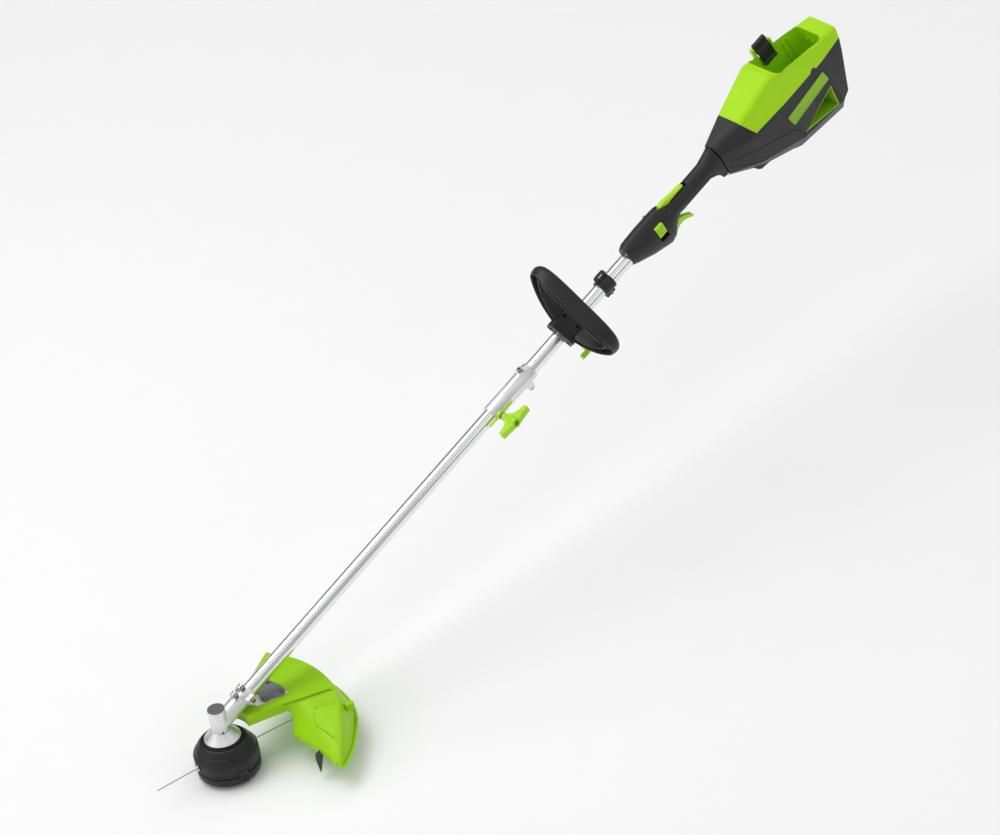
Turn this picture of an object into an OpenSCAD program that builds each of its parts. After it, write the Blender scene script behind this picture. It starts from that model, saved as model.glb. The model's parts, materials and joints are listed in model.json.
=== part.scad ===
// String trimmer with a two-piece boom, a loop handle and a rear battery housing.
// The spool turns about +Z; the boom rises towards +X; the bump knob rests at z = 0.
// "Near" is the -Y side, on the operator's left; "far" is the +Y side.

/* [Boom] */
// Angle of the boom above the cutting plane
shaft_angle = 20.5; // [18:0.5:24]
// Height of the point where the boom axis meets the spool axis
cross_z = 100; // [98:1:102]
// Outer diameter of both boom tubes
tube_d = 25.4; // [25:0.1:26]
// Wall of both boom tubes
tube_wall = 1.6; // [1.4:0.1:1.8]
// Diameter of the drive shaft inside the boom
drive_d = 8; // [7:0.5:8]

/* [Cutting head] */
// Outer diameter of the spool housing
head_d = 112; // [108:1:114]
// Diameter of the cutting line
line_d = 2; // [1.6:0.1:2.4]
// Reach of the short line end from the spool axis
short_reach = 137; // [120:1:150]
// Reach of the long line end from the spool axis
long_reach = 152; // [140:1:160]
// Direction of the long line end, seen from above
line_azimuth = -8; // [-12:1:0]

/* [Guard] */
// Height of the guard's deck
deck_z = 97; // [96:1:98]
// Radius of the guard's deck edge
deck_r = 205; // [200:1:210]
// Radius of the skirt's lower edge
skirt_r = 224; // [220:1:228]
// Thickness of the guard's wall
guard_wall = 2.8; // [2.4:0.1:3.2]

/* [Loop handle] */
// Turn of the loop about the boom, towards the operator's left
loop_turn = 40; // [30:1:50]
// Half of the loop's width, to the middle of its bar
loop_half_w = 90; // [84:1:96]
// Height of the loop above the boom axis, to the middle of its bar
loop_height = 118; // [112:1:124]
// Lean of the loop towards the grip
loop_lean = 4; // [2:1:10]
// Diameter of the loop's bar
loop_bar_d = 24; // [22:1:26]

/* [Rear housing] */
// Wall of the moulded housings
wall = 2.6; // [2.4:0.1:2.8]

/* [Hidden] */
$fn = 64;

green = [0.62, 0.85, 0.15];
deep_green = [0.5, 0.72, 0.14];
black = [0.16, 0.16, 0.17];
silver = [0.82, 0.83, 0.85];
steel = [0.6, 0.61, 0.63];
grey = [0.4, 0.4, 0.41];
copper = [0.72, 0.42, 0.2];
clear = 0.3;
snug = 0.08;
running = 0.12;

// ---------- places along the boom, from the spool axis ----------
socket_end = 76;
lower_tube_start = 22;
lower_tube_end = 760;
upper_tube_start = 770;
upper_tube_end = 1100;
sleeve_start = 709;
sleeve_len = 105;
sleeve_d = 32;
knob_s = 717;
bolt_s = 798;
detent_s = 736;
loop_s = 918;
hub_len = 36;
hanger_s = 1002;
hanger_len = 26;
ring_s = 1316;
trigger_pin = [1182, -26];
lock_pin = [1181, 12];
slider_s = 1148;
slider_t = 9;
motor_s = 1372;
latch_s = 1520;
latch_pin_t = 58;
latch_pin_w = -41;

// ---------- general shapes ----------
// Local frame of the boom: x along it, z square to it and up, w towards the near side
module on_boom(s = 0, t = 0, w = 0) {
    translate([0, 0, cross_z]) rotate([0, -shaft_angle, 0]) translate([s, -w, t]) children();
}
module bar(d, l) {
    rotate([0, 90, 0]) cylinder(d = d, h = l);
}
module pipe(d, bore, l) {
    rotate([0, 90, 0]) difference() {
        cylinder(d = d, h = l);
        translate([0, 0, -1]) cylinder(d = bore, h = l + 2);
    }
}
module ring(d, bore, h) {
    difference() {
        cylinder(d = d, h = h);
        translate([0, 0, -1]) cylinder(d = bore, h = h + 2);
    }
}
// A plate drawn in the boom's side view (x, z) and spread evenly over the width
module side_plate(points, width) {
    translate([0, width / 2, 0]) rotate([90, 0, 0]) linear_extrude(width) polygon(points);
}
// Symmetric outline: half widths and heights from the bottom up
function outline(half) = concat([for (p = half) [p[0], p[1]]],
    [for (i = [len(half) - 1:-1:0]) [-half[i][0], half[i][1]]]);
// Oval outline of half width a and heights from z0 to z1
function oval(a, z0, z1, n = 24) = [for (i = [0:n - 1]) [a * cos(360 * i / n),
    (z0 + z1) / 2 + (z1 - z0) / 2 * sin(360 * i / n)]];
module near_half() {
    intersection() {
        children();
        translate([900, -200, -300]) cube([900, 200 - 0.05, 600]);
    }
}
module far_half() {
    intersection() {
        children();
        translate([900, 0.05, -300]) cube([900, 200, 600]);
    }
}
// Socket-head screw along +z, its head's top at z = 0
module screw(d, l) {
    difference() {
        union() {
            translate([0, 0, -d * 0.8]) cylinder(d = d * 1.7, h = d * 0.8);
            translate([0, 0, -l]) cylinder(d = d, h = l);
        }
        translate([0, 0, -d * 0.45]) cylinder(d = d * 0.85, h = d, $fn = 6);
    }
}
// Solid through a row of rings with the same number of points, each turning about the way the row goes
module lofted(rings) {
    n = len(rings[0]);
    m = len(rings);
    sides = [for (i = [0:m - 2]) for (k = [0:n - 1]) each let (k2 = (k + 1) % n)
        [[i * n + k, (i + 1) * n + k2, i * n + k2], [i * n + k, (i + 1) * n + k, (i + 1) * n + k2]]];
    ends = [[for (k = [0:n - 1]) k], [for (k = [n - 1:-1:0]) (m - 1) * n + k]];
    polyhedron(points = [for (r = rings) each r], faces = concat(sides, ends));
}
// Tube swept along points, with square rings whose sides follow a fixed reference direction
function unit(v) = v / norm(v);
function direction(p, i) = unit(p[min(i + 1, len(p) - 1)] - p[max(i - 1, 0)]);
function ring_at(p, i, r, sides, ref) = let (d = direction(p, i), a = unit(cross(d, ref)), b = cross(d, a))
    [for (k = [0:sides - 1]) p[i] + r * (a * cos(360 * k / sides) + b * sin(360 * k / sides))];
module swept_tube(p, r, sides = 8, ref = [0, 0, 1]) {
    n = len(p);
    lofted([for (i = [0:n - 1]) ring_at(p, i, r, sides, ref)]);
}

// ---------- boom and coupler ----------
module upper_tube() {
    color(silver) on_boom(upper_tube_start) pipe(tube_d, tube_d - 2 * tube_wall, upper_tube_end - upper_tube_start);
}
module bushes(places) {
    for (s = places) on_boom(s) pipe(tube_d - 2 * tube_wall, drive_d + 0.1, 14);
}
module upper_bushes() {
    color(black) bushes([830, 950, 1070]);
}
module hanger_clamp() {
    color(black) on_boom(hanger_s) difference() {
        union() {
            pipe(tube_d + 6, tube_d + snug, hanger_len);
            translate([hanger_len / 2, 3, 15]) rotate([90, 0, 0]) linear_extrude(6) hull() {
                translate([-7, 8]) circle(r = 5.5);
                translate([7, 8]) circle(r = 5.5);
                translate([-11, -2]) square([22, 1]);
            }
            translate([3, -4.5, -23]) cube([hanger_len - 6, 9, 9]);
        }
        translate([hanger_len / 2, 10, 22]) rotate([90, 0, 0]) linear_extrude(20) hull() {
            translate([-3, 0]) circle(r = 4);
            translate([3, 0]) circle(r = 4);
        }
        translate([-1, -0.8, -24]) cube([hanger_len + 2, 1.6, 14]);
        translate([hanger_len / 2, 10, -19]) rotate([90, 0, 0]) cylinder(d = 4 + snug, h = 20);
    }
}
module hanger_screw() {
    color(steel) on_boom(hanger_s + hanger_len / 2, -19, 4.5 + 3.2) rotate([90, 0, 0]) screw(4, 11);
}
module coupler_sleeve() {
    color(silver) on_boom(sleeve_start) difference() {
        union() {
            pipe(sleeve_d, tube_d + running, sleeve_len);
            translate([bolt_s - sleeve_start, 0, -27]) cylinder(d = 15, h = 44.2);
        }
        translate([-1, 0, 0]) bar(tube_d + running, sleeve_len + 2);
        translate([bolt_s - sleeve_start, 0, -40]) cylinder(d = 6, h = 80);
        translate([knob_s - sleeve_start, 0, 0]) rotate([90, 0, 0]) cylinder(d = 8.4, h = 40);
        // Guide slot of the detent button, open at the lower end so that the boom can slide out
        translate([detent_s - sleeve_start, 0, -40]) cylinder(d = 9.2, h = 40);
        translate([-1, -4.6, -40]) cube([detent_s - sleeve_start + 1, 9.2, 40]);
    }
}
module coupler_bolt() {
    // Two set screws hold the upper tube in the sleeve, one from below and one from above
    color(steel) {
        on_boom(bolt_s, -27 - 4.8) rotate([180, 0, 0]) screw(6, 31.8 - tube_d / 2 - 0.05);
        on_boom(bolt_s, 22) screw(6, 22 - tube_d / 2 - 0.05);
    }
}
module coupler_saddle() {
    color(green) on_boom(knob_s) difference() {
        union() {
            // Thin rib along the sleeve, with a boss round the stud
            translate([-29, -18.4, -1.6]) cube([60, 3.4, 3.2]);
            translate([0, -15, 0]) rotate([90, 0, 0]) cylinder(d = 14, h = 7);
        }
        translate([-40, 0, 0]) bar(sleeve_d + 0.02, 80);
        rotate([90, 0, 0]) cylinder(d = 8.4, h = 40);
    }
}
module knob_stud() {
    color(steel) on_boom(knob_s, 0, 13) rotate([90, 0, 0]) {
        cylinder(d = 8, h = 43);
        translate([0, 0, 12]) cylinder(d = 13, h = 2);
    }
}
module t_knob() {
    color(green) on_boom(knob_s, 0, 28) rotate([90, 0, 0]) difference() {
        union() {
            cylinder(d = 14, h = 20);
            rotate([90, 0, 0]) translate([0, 0, -6]) linear_extrude(12) polygon([
                [-7, 8], [-11, 15], [-20, 20], [-33, 22], [-34, 30], [-22, 31], [-10, 33],
                [10, 33], [22, 31], [34, 30], [33, 22], [20, 20], [11, 15], [7, 8]]);
            translate([0, 0, 18]) cylinder(d = 18, h = 14);
        }
        translate([0, 0, -1]) cylinder(d = 8, h = 29);
        translate([0, 0, 25]) cylinder(d = 11, h = 20);
    }
}
module detent_button() {
    color(steel) on_boom(detent_s, -8.6) rotate([180, 0, 0]) {
        cylinder(d = 8.6, h = 10.4);
        translate([0, 0, -1]) cylinder(d = 11.4, h = 1);
    }
}
module lower_tube() {
    color(silver) on_boom() difference() {
        translate([lower_tube_start, 0, 0]) pipe(tube_d, tube_d - 2 * tube_wall, lower_tube_end - lower_tube_start);
        translate([detent_s, 0, -20]) cylinder(d = 8.8, h = 20);
    }
}
module lower_bushes() {
    color(black) bushes([150, 400, 640]);
}

// ---------- loop handle ----------
// Frame of the loop: u across, v up in the loop's plane, x along the boom
module on_loop() {
    on_boom(loop_s) rotate([loop_turn, 0, 0]) children();
}
// Middle line of the bar from the hub to the crown, as (u, v) for a loop 90 wide and 118 high
loop_knots = [[4, 1], [24, 13], [48, 27], [70, 46], [85, 69], [90, 90], [83, 107], [63, 116], [33, 118.5], [0, 118]];
// Smooth curve through the knots
function curve(k, i, f) = 0.5 * ((2 * k[i]) + (k[i + 1] - k[i - 1]) * f
    + (2 * k[i - 1] - 5 * k[i] + 4 * k[i + 1] - k[i + 2]) * pow(f, 2)
    + (3 * k[i] - k[i - 1] - 3 * k[i + 1] + k[i + 2]) * pow(f, 3));
loop_side = concat(loop_knots, [[-33, 118.5]]);
loop_half = [for (i = [1:8]) for (f = [0:0.25:0.99]) curve(loop_side, i, f)];
loop_line = concat([for (p = loop_half) p], [[0, 118]], [for (i = [len(loop_half) - 1:-1:0]) [-loop_half[i][0], loop_half[i][1]]]);
loop_points = [for (p = loop_line) let (v = p[1] * loop_height / 118)
    [v * tan(loop_lean), -p[0] * loop_half_w / 90, v]];
module loop_handle() {
    color(black) on_loop() difference() {
        union() {
            swept_tube(loop_points, loop_bar_d / 2, 20, [1, 0.01, 0]);
            translate([-hub_len / 2, -27, 0.3]) cube([hub_len, 54, 25]);
        }
        translate([-hub_len, 0, 0]) bar(tube_d + running, 2 * hub_len);
        for (y = [-20, 20]) translate([0, y, -1]) cylinder(d = 5, h = 40);
    }
}
module loop_clamp() {
    color(black) on_loop() difference() {
        translate([-hub_len / 2, -27, -20]) cube([hub_len, 54, 19.7]);
        translate([-hub_len, 0, 0]) bar(tube_d + running, 2 * hub_len);
        for (y = [-20, 20]) translate([0, y, -30]) cylinder(d = 5, h = 40);
    }
}
module loop_bolt() {
    color(steel) on_loop() for (y = [-20, 20]) translate([0, y, -20 - (y < 0 ? 22 : 4)]) {
        cylinder(d = 5, h = y < 0 ? 42 : 24);
        if (y > 0) cylinder(d = 8.5, h = 4);
    }
}
module clamp_lever() {
    color(green) on_loop() translate([0, -20, -21]) difference() {
        union() {
            translate([0, 0, -18]) cylinder(d = 13, h = 17.6);
            translate([-5, -35, -17]) cube([10, 37, 11]);
            translate([-20, -35, -16.5]) cube([16, 9, 10]);
        }
        translate([0, 0, -30]) cylinder(d = 5.06, h = 40);
    }
}

// ---------- handle with the trigger ----------
handle_slices = [[1076, 15, -15, 26], [1086, 20, -20, 29], [1120, 23, -36, 31], [1160, 24, -50, 31],
    [1172, 23, -46, 30], [1186, 20, -27, 23], [1200, 16.5, -17.5, 18.5], [1284, 16.5, -17.5, 19.5],
    [1300, 18, -26, 25], [1314.5, 20, -44, 31]];
module handle_span(first, last, inset = 0) {
    lofted([for (i = [first:last]) let (h = handle_slices[i])
        [for (p = oval(h[1] - inset, h[2] + inset, h[3] - inset)) [h[0], p[0], p[1]]]]);
}
module handle_outside() {
    handle_span(0, len(handle_slices) - 1);
}
grip_panel_outline = [[1196, -60], [1203, -20], [1214, -12], [1224, -4.5], [1282, -5], [1290, -8],
    [1312, -26], [1312, -60]];
module handle_shell() {
    difference() {
        union() {
            difference() {
                handle_outside();
                handle_span(1, 4, wall);
            }
            intersection() {
                handle_outside();
                case_bosses();
            }
        }
        case_holes();
        translate([1160, 0, 0]) bar(27, 200);
        translate([1070, 0, 0]) bar(tube_d + snug, 60);
        side_plate(grip_panel_outline, 60);
        // Slots for the trigger, the lock lever and the slider
        translate([1164, -5.3, -60]) cube([62, 10.6, 62]);
        translate([1170, -5.6, 4]) cube([72, 11.2, 40]);
        translate([slider_s - 9.6, -40, slider_t - 24]) cube([19.2, 30, 33.4]);
        for (p = [trigger_pin, lock_pin]) translate([p[0], 40, p[1]]) rotate([90, 0, 0]) cylinder(d = 4, h = 80);
    }
}
module handle_near() {
    color(black) on_boom() near_half() handle_shell();
}
module handle_far() {
    color(black) on_boom() far_half() handle_shell();
}
module grip_panel() {
    color(grey) on_boom() difference() {
        intersection() {
            handle_outside();
            side_plate([for (p = grip_panel_outline) [p[0] + (p[0] > 1250 ? -0.2 : 0.2), p[1] - 0.2]], 60);
        }
        translate([1160, 0, 0]) bar(27.4, 200);
        translate([1190, -5.3, -60]) cube([36, 10.6, 62]);
    }
}
module pivot_pins() {
    color(steel) on_boom() {
        for (p = [trigger_pin, lock_pin]) let (w = p[1] < 0 ? 12 : 16)
            translate([p[0], w, p[1]]) rotate([90, 0, 0]) cylinder(d = 4, h = 2 * w);
        translate([latch_s - 20, -latch_pin_w, latch_pin_t]) bar(3, 40);
    }
}
module trigger() {
    color(green) on_boom() difference() {
        side_plate([[1170, -31], [1169, -49], [1176, -47], [1184, -41], [1192, -37.8], [1200, -37.8],
            [1208, -40], [1215, -44], [1221, -48], [1224, -45.5], [1222, -40], [1214, -34], [1206, -29],
            [1198, -25], [1190, -19.5], [1178, -19.5]], 9.4);
        translate([trigger_pin[0], 20, trigger_pin[1]]) rotate([90, 0, 0]) cylinder(d = 4.08, h = 40);
    }
}
module lock_lever() {
    color(green) on_boom() difference() {
        side_plate([[1175, 8], [1172, 22], [1176, 28], [1184, 29.5], [1192, 28], [1206, 25.8], [1222, 24.4],
            [1233, 23.6], [1236, 21], [1233, 19.5], [1200, 19.5], [1190, 15], [1187, 8]], 9.8);
        translate([lock_pin[0], 20, lock_pin[1]]) rotate([90, 0, 0]) cylinder(d = 4.08, h = 40);
    }
}
module speed_slider() {
    color(green) on_boom(slider_s, slider_t, 16) {
        translate([-9, -7.4, -14]) cube([18, 7.4, 22]);
        translate([-7, -8.4, -11]) for (i = [0:3]) translate([0, 0, i * 5]) cube([14, 2, 2]);
    }
}
module trigger_switch() {
    color(grey) on_boom(1124, -14) {
        translate([0, -8, -14]) cube([34, 16, 12]);
        translate([34, -3, -9]) cube([3, 6, 4]);
        for (y = [-5, 0, 5]) translate([-4, y - 1.2, -10]) cube([5, 2.4, 3]);
    }
}
case_screw_places = [[1100, 19, 16], [1150, 22.5, 16], [1346.3, -42, 20], [1424.6, -78, 27], [1500, -108, 30],
    [1588, -62, 30]];
// Bosses of the screws that pull the two halves together, and the holes through them
module case_bosses() {
    for (p = case_screw_places) translate([p[0], 0, p[1]]) rotate([90, 0, 0]) cylinder(d = 8, h = 120, center = true);
}
module case_holes() {
    for (p = case_screw_places) translate([p[0], 0, p[1]]) rotate([-90, 0, 0]) {
        translate([0, 0, -8]) cylinder(d = 3, h = p[2] + 8);
        translate([0, 0, p[2] - 2.4]) cylinder(d = 5.1, h = 40);
    }
}

// ---------- rear housing ----------
// Cross-sections of the housing: place along the boom, lean of the section, half outline from the bottom up
housing_sections = [
    [ring_s + 1, 0, [[7, -43], [17, -34], [20, -8], [19, 14], [13, 27], [6, 31]]],
    [1376, 0, [[20, -78], [34, -60], [39, 0], [38, 6], [28, 37], [22, 40]]],
    [1466, 0, [[24, -116], [40, -92], [44, 0], [44, 8], [36, 64], [30, 68]]],
    [1566, 0, [[24, -130], [40, -104], [44, 0], [44, 10], [38, 38], [33, 42]]],
    [1617, 0.33, [[24, -118], [37, -98], [40, -20], [39, 6], [34, 24], [29, 27]]]];
function shrunk(half, d) = let (mid = (half[0][1] + half[len(half) - 1][1]) / 2)
    [for (p = half) [p[0] - d, p[1] + (p[1] < mid ? d : -d)]];
module housing_shape(inset = 0) {
    last = len(housing_sections) - 1;
    lofted([for (i = [0:last]) let (h = housing_sections[i], s = h[0] - (i == last ? inset * 1.2 : (i == 0 ? 2 * inset : 0)))
        [for (p = outline(shrunk(h[2], inset))) [s + h[1] * p[1], p[0], p[1]]]]);
}
module feet() {
    side_plate([[1352, -52], [1366, -77], [1372, -82], [1394, -86], [1402, -84], [1412, -80], [1412, -60]], 40);
    side_plate([[1436, -95], [1448, -112], [1462, -119], [1500, -121], [1512, -115]], 40);
}
green_region = [[1368, 90], [1376, 38], [1390, 4], [1534, 6], [1538, 11], [1545, 11], [1549, 5], [1640, 8],
    [1640, 120], [1368, 120]];
bay_front = 1481;
bay_rear = 1594;
bay_floor = -35;
module bay_room(grow = 0, floor_z = bay_floor) {
    translate([0, 0, floor_z]) linear_extrude(180) hull() for (x = [bay_front + 9, bay_rear - 13], y = [-1, 1])
        translate([x, y * (x < 1500 ? 26 : 22)]) circle(r = 9 + grow + (x < 1500 ? 2 : 4), $fn = 32);
}
window = [[1478, -82], [1556, -56], [1552, -98]];
function window_grown(d) = [[window[0][0] - 2.6 * d, window[0][1] - 0.6 * d], [window[1][0] + d, window[1][1] + 1.6 * d],
    [window[2][0] + d, window[2][1] - 1.1 * d]];
module housing_shell() {
    difference() {
        union() {
            difference() {
                union() {
                    housing_shape();
                    feet();
                }
                housing_shape(wall);
            }
            intersection() {
                housing_shape();
                case_bosses();
            }
        }
        case_holes();
        side_plate(green_region, 120);
        side_plate(window_grown(3), 120);
        translate([1300, 0, 0]) bar(24, 30);
        bay_room(2.9, bay_floor - 3.2);
    }
    bulkheads();
}
bearing_s = [motor_s - 31, motor_s + 37];
// Inner walls that hold the motor's two bearings
module bulkheads() {
    difference() {
        intersection() {
            housing_shape(wall - 0.1);
            union() {
                translate([bearing_s[0], -60, -80]) cube([7, 120, 140]);
                translate([bearing_s[1], -60, -80]) cube([7, 120, 84]);
            }
        }
        translate([1300, 0, 0]) bar(22 + snug, 200);
        case_holes();
    }
}
module housing_near() {
    color(black) on_boom() near_half() housing_shell();
}
module housing_far() {
    color(black) on_boom() far_half() housing_shell();
}
module bay_shell() {
    color(green) on_boom() difference() {
        union() {
            difference() {
                intersection() {
                    housing_shape();
                    side_plate([for (p = green_region) [p[0] + (p[0] < 1400 ? 0.15 : 0), p[1] + 0.15]], 120);
                }
                housing_shape(wall);
            }
            intersection() {
                bay_room(2.6, bay_floor - 2.6);
                housing_shape();
            }
            // Ears that hold the latch's pin
            for (x = [latch_s - 22, latch_s + 16.6]) translate([x, -latch_pin_w - 4, 30]) cube([5.4, 8, 33 + 0.25 * (latch_s - x)]);
        }
        bay_room();
        // Recess for the latch's hook in the inner face, and the notch in the rim that its arm passes through
        intersection() {
            housing_shape(1.3);
            translate([latch_s - 16.3, 28, 22]) cube([32.6, 30, 30]);
        }
        translate([latch_s - 16.3, 30, 46]) cube([32.6, 32, 50]);
        translate([latch_s - 20, -latch_pin_w, latch_pin_t]) bar(3, 40);
    }
}
module window_frame() {
    color(deep_green) on_boom() difference() {
        side_plate(window_grown(2.8), 82);
        side_plate(window, 120);
    }
}
module badge_plates() {
    badge = [[1453, -24], [1458, -51], [1561, -37], [1557, -11]];
    color(deep_green) on_boom() difference() {
        intersection() {
            housing_shape(-0.8);
            side_plate(badge, 120);
        }
        housing_shape();
    }
}
module terminal_block() {
    color(grey) on_boom(bay_front + 40, bay_floor) difference() {
        translate([0, -14, 0]) cube([30, 28, 14]);
        for (y = [-9, -3, 3, 9]) translate([4, y - 1, 4]) cube([22, 2, 20]);
    }
}
module control_board() {
    color([0.15, 0.35, 0.2]) on_boom(1425, -60) {
        translate([0, -26, 0]) cube([46, 52, 1.6]);
        for (y = [-18, -6, 6, 18]) translate([8, y - 4, 1.6]) cube([10, 8, 5]);
        for (y = [-14, 10]) translate([32, y, 1.6]) cylinder(d = 9, h = 12);
    }
}
module motor_stator() {
    color(copper) on_boom(motor_s - 20) difference() {
        union() {
            pipe(50, 42, 40);
            for (a = [0:30:359]) rotate([a, 0, 0]) translate([3, -2.4, 15]) cube([34, 4.8, 7]);
        }
        translate([-1, 0, 0]) bar(30, 50);
    }
}
module motor_rotor() {
    color(steel) on_boom(motor_s - 18) pipe(29, drive_d, 36);
}
module cooling_fan() {
    color(black) on_boom(motor_s + 24) difference() {
        union() {
            bar(16, 10);
            bar(42, 1.6);
            for (a = [0:30:359]) rotate([a, 0, 0]) translate([1, -0.8, 7]) cube([9, 1.6, 13.5]);
        }
        translate([-1, 0, 0]) bar(drive_d, 20);
    }
}
module bearing(d, bore, h) {
    ring(d, d - 4, h);
    ring(bore + 4, bore, h);
    translate([0, 0, h * 0.2]) ring(d - 4, bore + 4, h * 0.6);
}
module motor_bearings() {
    color(steel) for (s = bearing_s) on_boom(s) rotate([0, 90, 0]) bearing(22, drive_d + 0.06, 7);
}
module upper_drive_shaft() {
    color(steel) on_boom(754) difference() {
        union() {
            bar(14, 30);
            translate([29, 0, 0]) bar(drive_d, motor_s + 46 - 783);
        }
        translate([-1, -3.25, -3.25]) cube([27, 6.5, 6.5]);
    }
}
module case_screws() {
    color(steel) for (p = case_screw_places) on_boom(p[0], p[1], -p[2]) rotate([-90, 0, 0]) screw(3, p[2] + 7);
}
module battery_latch() {
    color(black) on_boom(latch_s, latch_pin_t, latch_pin_w) difference() {
        translate([-15.5, 0, 0]) rotate([90, 0, 90]) linear_extrude(31) polygon([[-4, 14], [2, 16], [4, 4], [3, -3],
            [-4, -5], [-6, -9], [-6.2, -26], [-9, -30], [-13, -31], [-13, -27.5], [-9.8, -24], [-9.4, -8], [-7, -1], [-4.6, 3]]);
        translate([-20, 0, 0]) bar(3.06, 40);
    }
}

// ---------- gearbox ----------
module socket_lobes() {
    translate([46, -6, 11]) cube([9, 13, 16]);
    translate([63, -6, 11]) cube([9, 13, 16]);
}
module gearbox_housing() {
    color(silver) difference() {
        union() {
            translate([0, 0, 82]) cylinder(d = 31, h = 48);
            translate([0, 0, 129.99]) cylinder(d1 = 31, d2 = 29.6, h = 1);
            on_boom() bar(31, socket_end);
            on_boom() socket_lobes();
        }
        translate([0, 0, 88]) cylinder(d = 25.4, h = 60);
        translate([0, 0, 80]) cylinder(d = 22, h = 20);
        on_boom(lower_tube_start - 0.5) bar(tube_d + snug, 90);
        on_boom() bar(24, lower_tube_start);
        on_boom(44) translate([0, -0.9, 8]) cube([40, 1.8, 22]);
        for (s = [50.5, 67.5]) on_boom(s, 21) translate([0, 20, 0]) rotate([90, 0, 0]) cylinder(d = 5.2, h = 40);
        // Locking hole for holding the spool while it is changed
        translate([0, 0, 91]) rotate([0, 90, -112]) cylinder(d = 4.5, h = 30);
    }
}
module gearbox_cap() {
    color(grey) translate([0, 0, 128.4]) {
        cylinder(d = 25.2, h = 3);
        translate([0, 0, 2.6]) cylinder(d = 29.4, h = 1.6);
    }
}
module dust_cover() {
    color(silver) rotate_extrude() polygon([[15.6, 85.6], [15.6, 88.8], [17.4, 88.8], [18.6, 85.4], [21.6, 81],
        [26, 77], [31.5, 74.6], [31.5, 73], [25, 75.4], [20, 79.6], [17.2, 83.6], [16.4, 85.6]]);
}
module gearbox_bearings() {
    color(steel) {
        translate([0, 0, 83]) bearing(22, 10.04, 7);
        on_boom(lower_tube_start + 0.5) rotate([0, 90, 0]) bearing(tube_d - 2 * tube_wall, drive_d + 0.06, 7);
    }
}
pinion_teeth = 10;
gear_teeth = 13;
axes_angle = 90 - shaft_angle;
gear_cone = 90 - atan((pinion_teeth / gear_teeth + cos(axes_angle)) / sin(axes_angle));
gear_r = 9.6;
pinion_r = gear_r * pinion_teeth / gear_teeth;
gear_apex = gear_r / tan(gear_cone);
pinion_apex = pinion_r / tan(axes_angle - gear_cone);
tooth_scale = 0.66;
function gear_outline(n, r, start) = [for (i = [0:n - 1]) let (c = start + 360 * i / n, w = 90 / n)
    each [for (q = [[-1.45, -1.15], [-0.62, -1.15], [-0.3, 0.8], [0.3, 0.8], [0.62, -1.15], [1.45, -1.15]])
        (r + q[1]) * [cos(c + q[0] * w), sin(c + q[0] * w)]]];
// Bevel wheel whose teeth shrink towards the point where both axes meet, at the origin
module bevel_wheel(n, r, apex, start) {
    translate([0, 0, apex]) mirror([0, 0, 1]) linear_extrude(apex * (1 - tooth_scale), scale = tooth_scale)
        polygon(gear_outline(n, r, start));
}
module bevel_gear() {
    color(steel) translate([0, 0, cross_z]) difference() {
        union() {
            bevel_wheel(gear_teeth, gear_r, gear_apex, 180 / gear_teeth);
            translate([0, 0, gear_apex - 0.01]) cylinder(d = 15, h = 5);
        }
        cylinder(d = 8, h = 60);
    }
}
module pinion_gear() {
    color(steel) on_boom() rotate([0, 90, 0]) difference() {
        bevel_wheel(pinion_teeth, pinion_r, pinion_apex, 180);
        cylinder(d = 5, h = 60);
    }
}
module lower_drive_shaft() {
    color(steel) on_boom() {
        translate([pinion_apex * tooth_scale + 0.2, 0, 0]) bar(5, pinion_apex);
        translate([pinion_apex, 0, 0]) bar(drive_d, 754 - pinion_apex);
        translate([752, -3, -3]) cube([26, 6, 6]);
    }
}
module output_shaft() {
    color(steel) {
        translate([0, 0, 22]) cylinder(d = 10, h = 68);
        translate([0, 0, 90]) cylinder(d = 8, h = cross_z + gear_apex + 4 - 90);
        translate([0, 0, 76]) cylinder(d = 15, h = 6);
    }
}

// ---------- guard ----------
bracket_front = 84;
bracket_rear = 129;
module guard_bracket() {
    color(silver) difference() {
        union() {
            translate([0, 0, deck_z]) linear_extrude(3) polygon([[70, -13], [bracket_front, -19], [bracket_rear, -29],
                [bracket_rear, 29], [bracket_front, 19], [70, 13]]);
            translate([0, 9, 0]) rotate([90, 0, 0]) linear_extrude(18) polygon([[66, deck_z], [bracket_front, deck_z],
                [bracket_front + 4, deck_z + 3.2], [bracket_front - 4, 118], [66, 114]]);
            on_boom(56) pipe(38, 31 + snug, 16);
            on_boom(57, 2, 25) translate([0, 0, -6]) cube([14, 10, 13]);
        }
        on_boom(40) bar(31 + snug, 60);
        on_boom(64, 3) translate([0, -10, 0]) rotate([90, 0, 0]) cylinder(d = 5, h = 30);
        on_boom(50) translate([0, -9, 0]) cube([50, 18, 40]);
        for (p = plate_screw_places) translate([p[0], p[1], 80]) cylinder(d = 4.2, h = 40);
    }
}
plate_screw_places = [[90, -13], [90, 13], [122, -20], [122, 20]];
module bracket_plate() {
    color(grey) difference() {
        translate([0, 0, deck_z + 3]) linear_extrude(2) offset(r = 4) offset(delta = -4) polygon([
            [bracket_front + 1, -18], [bracket_rear - 8, -28], [bracket_rear - 1, -20], [bracket_rear + 2, 0],
            [bracket_rear - 1, 20], [bracket_rear - 8, 28], [bracket_front + 1, 18]]);
        translate([80, -9.4, deck_z]) cube([9, 18.8, 20]);
        for (p = plate_screw_places) translate([p[0], p[1], 80]) cylinder(d = 4.2, h = 40);
    }
}
lip_z = deck_z - 22;
sector_start = -22;
sector_end = 28;
wing_end = -61;
wall_front_x = 94;
rim_z = 44;
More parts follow.
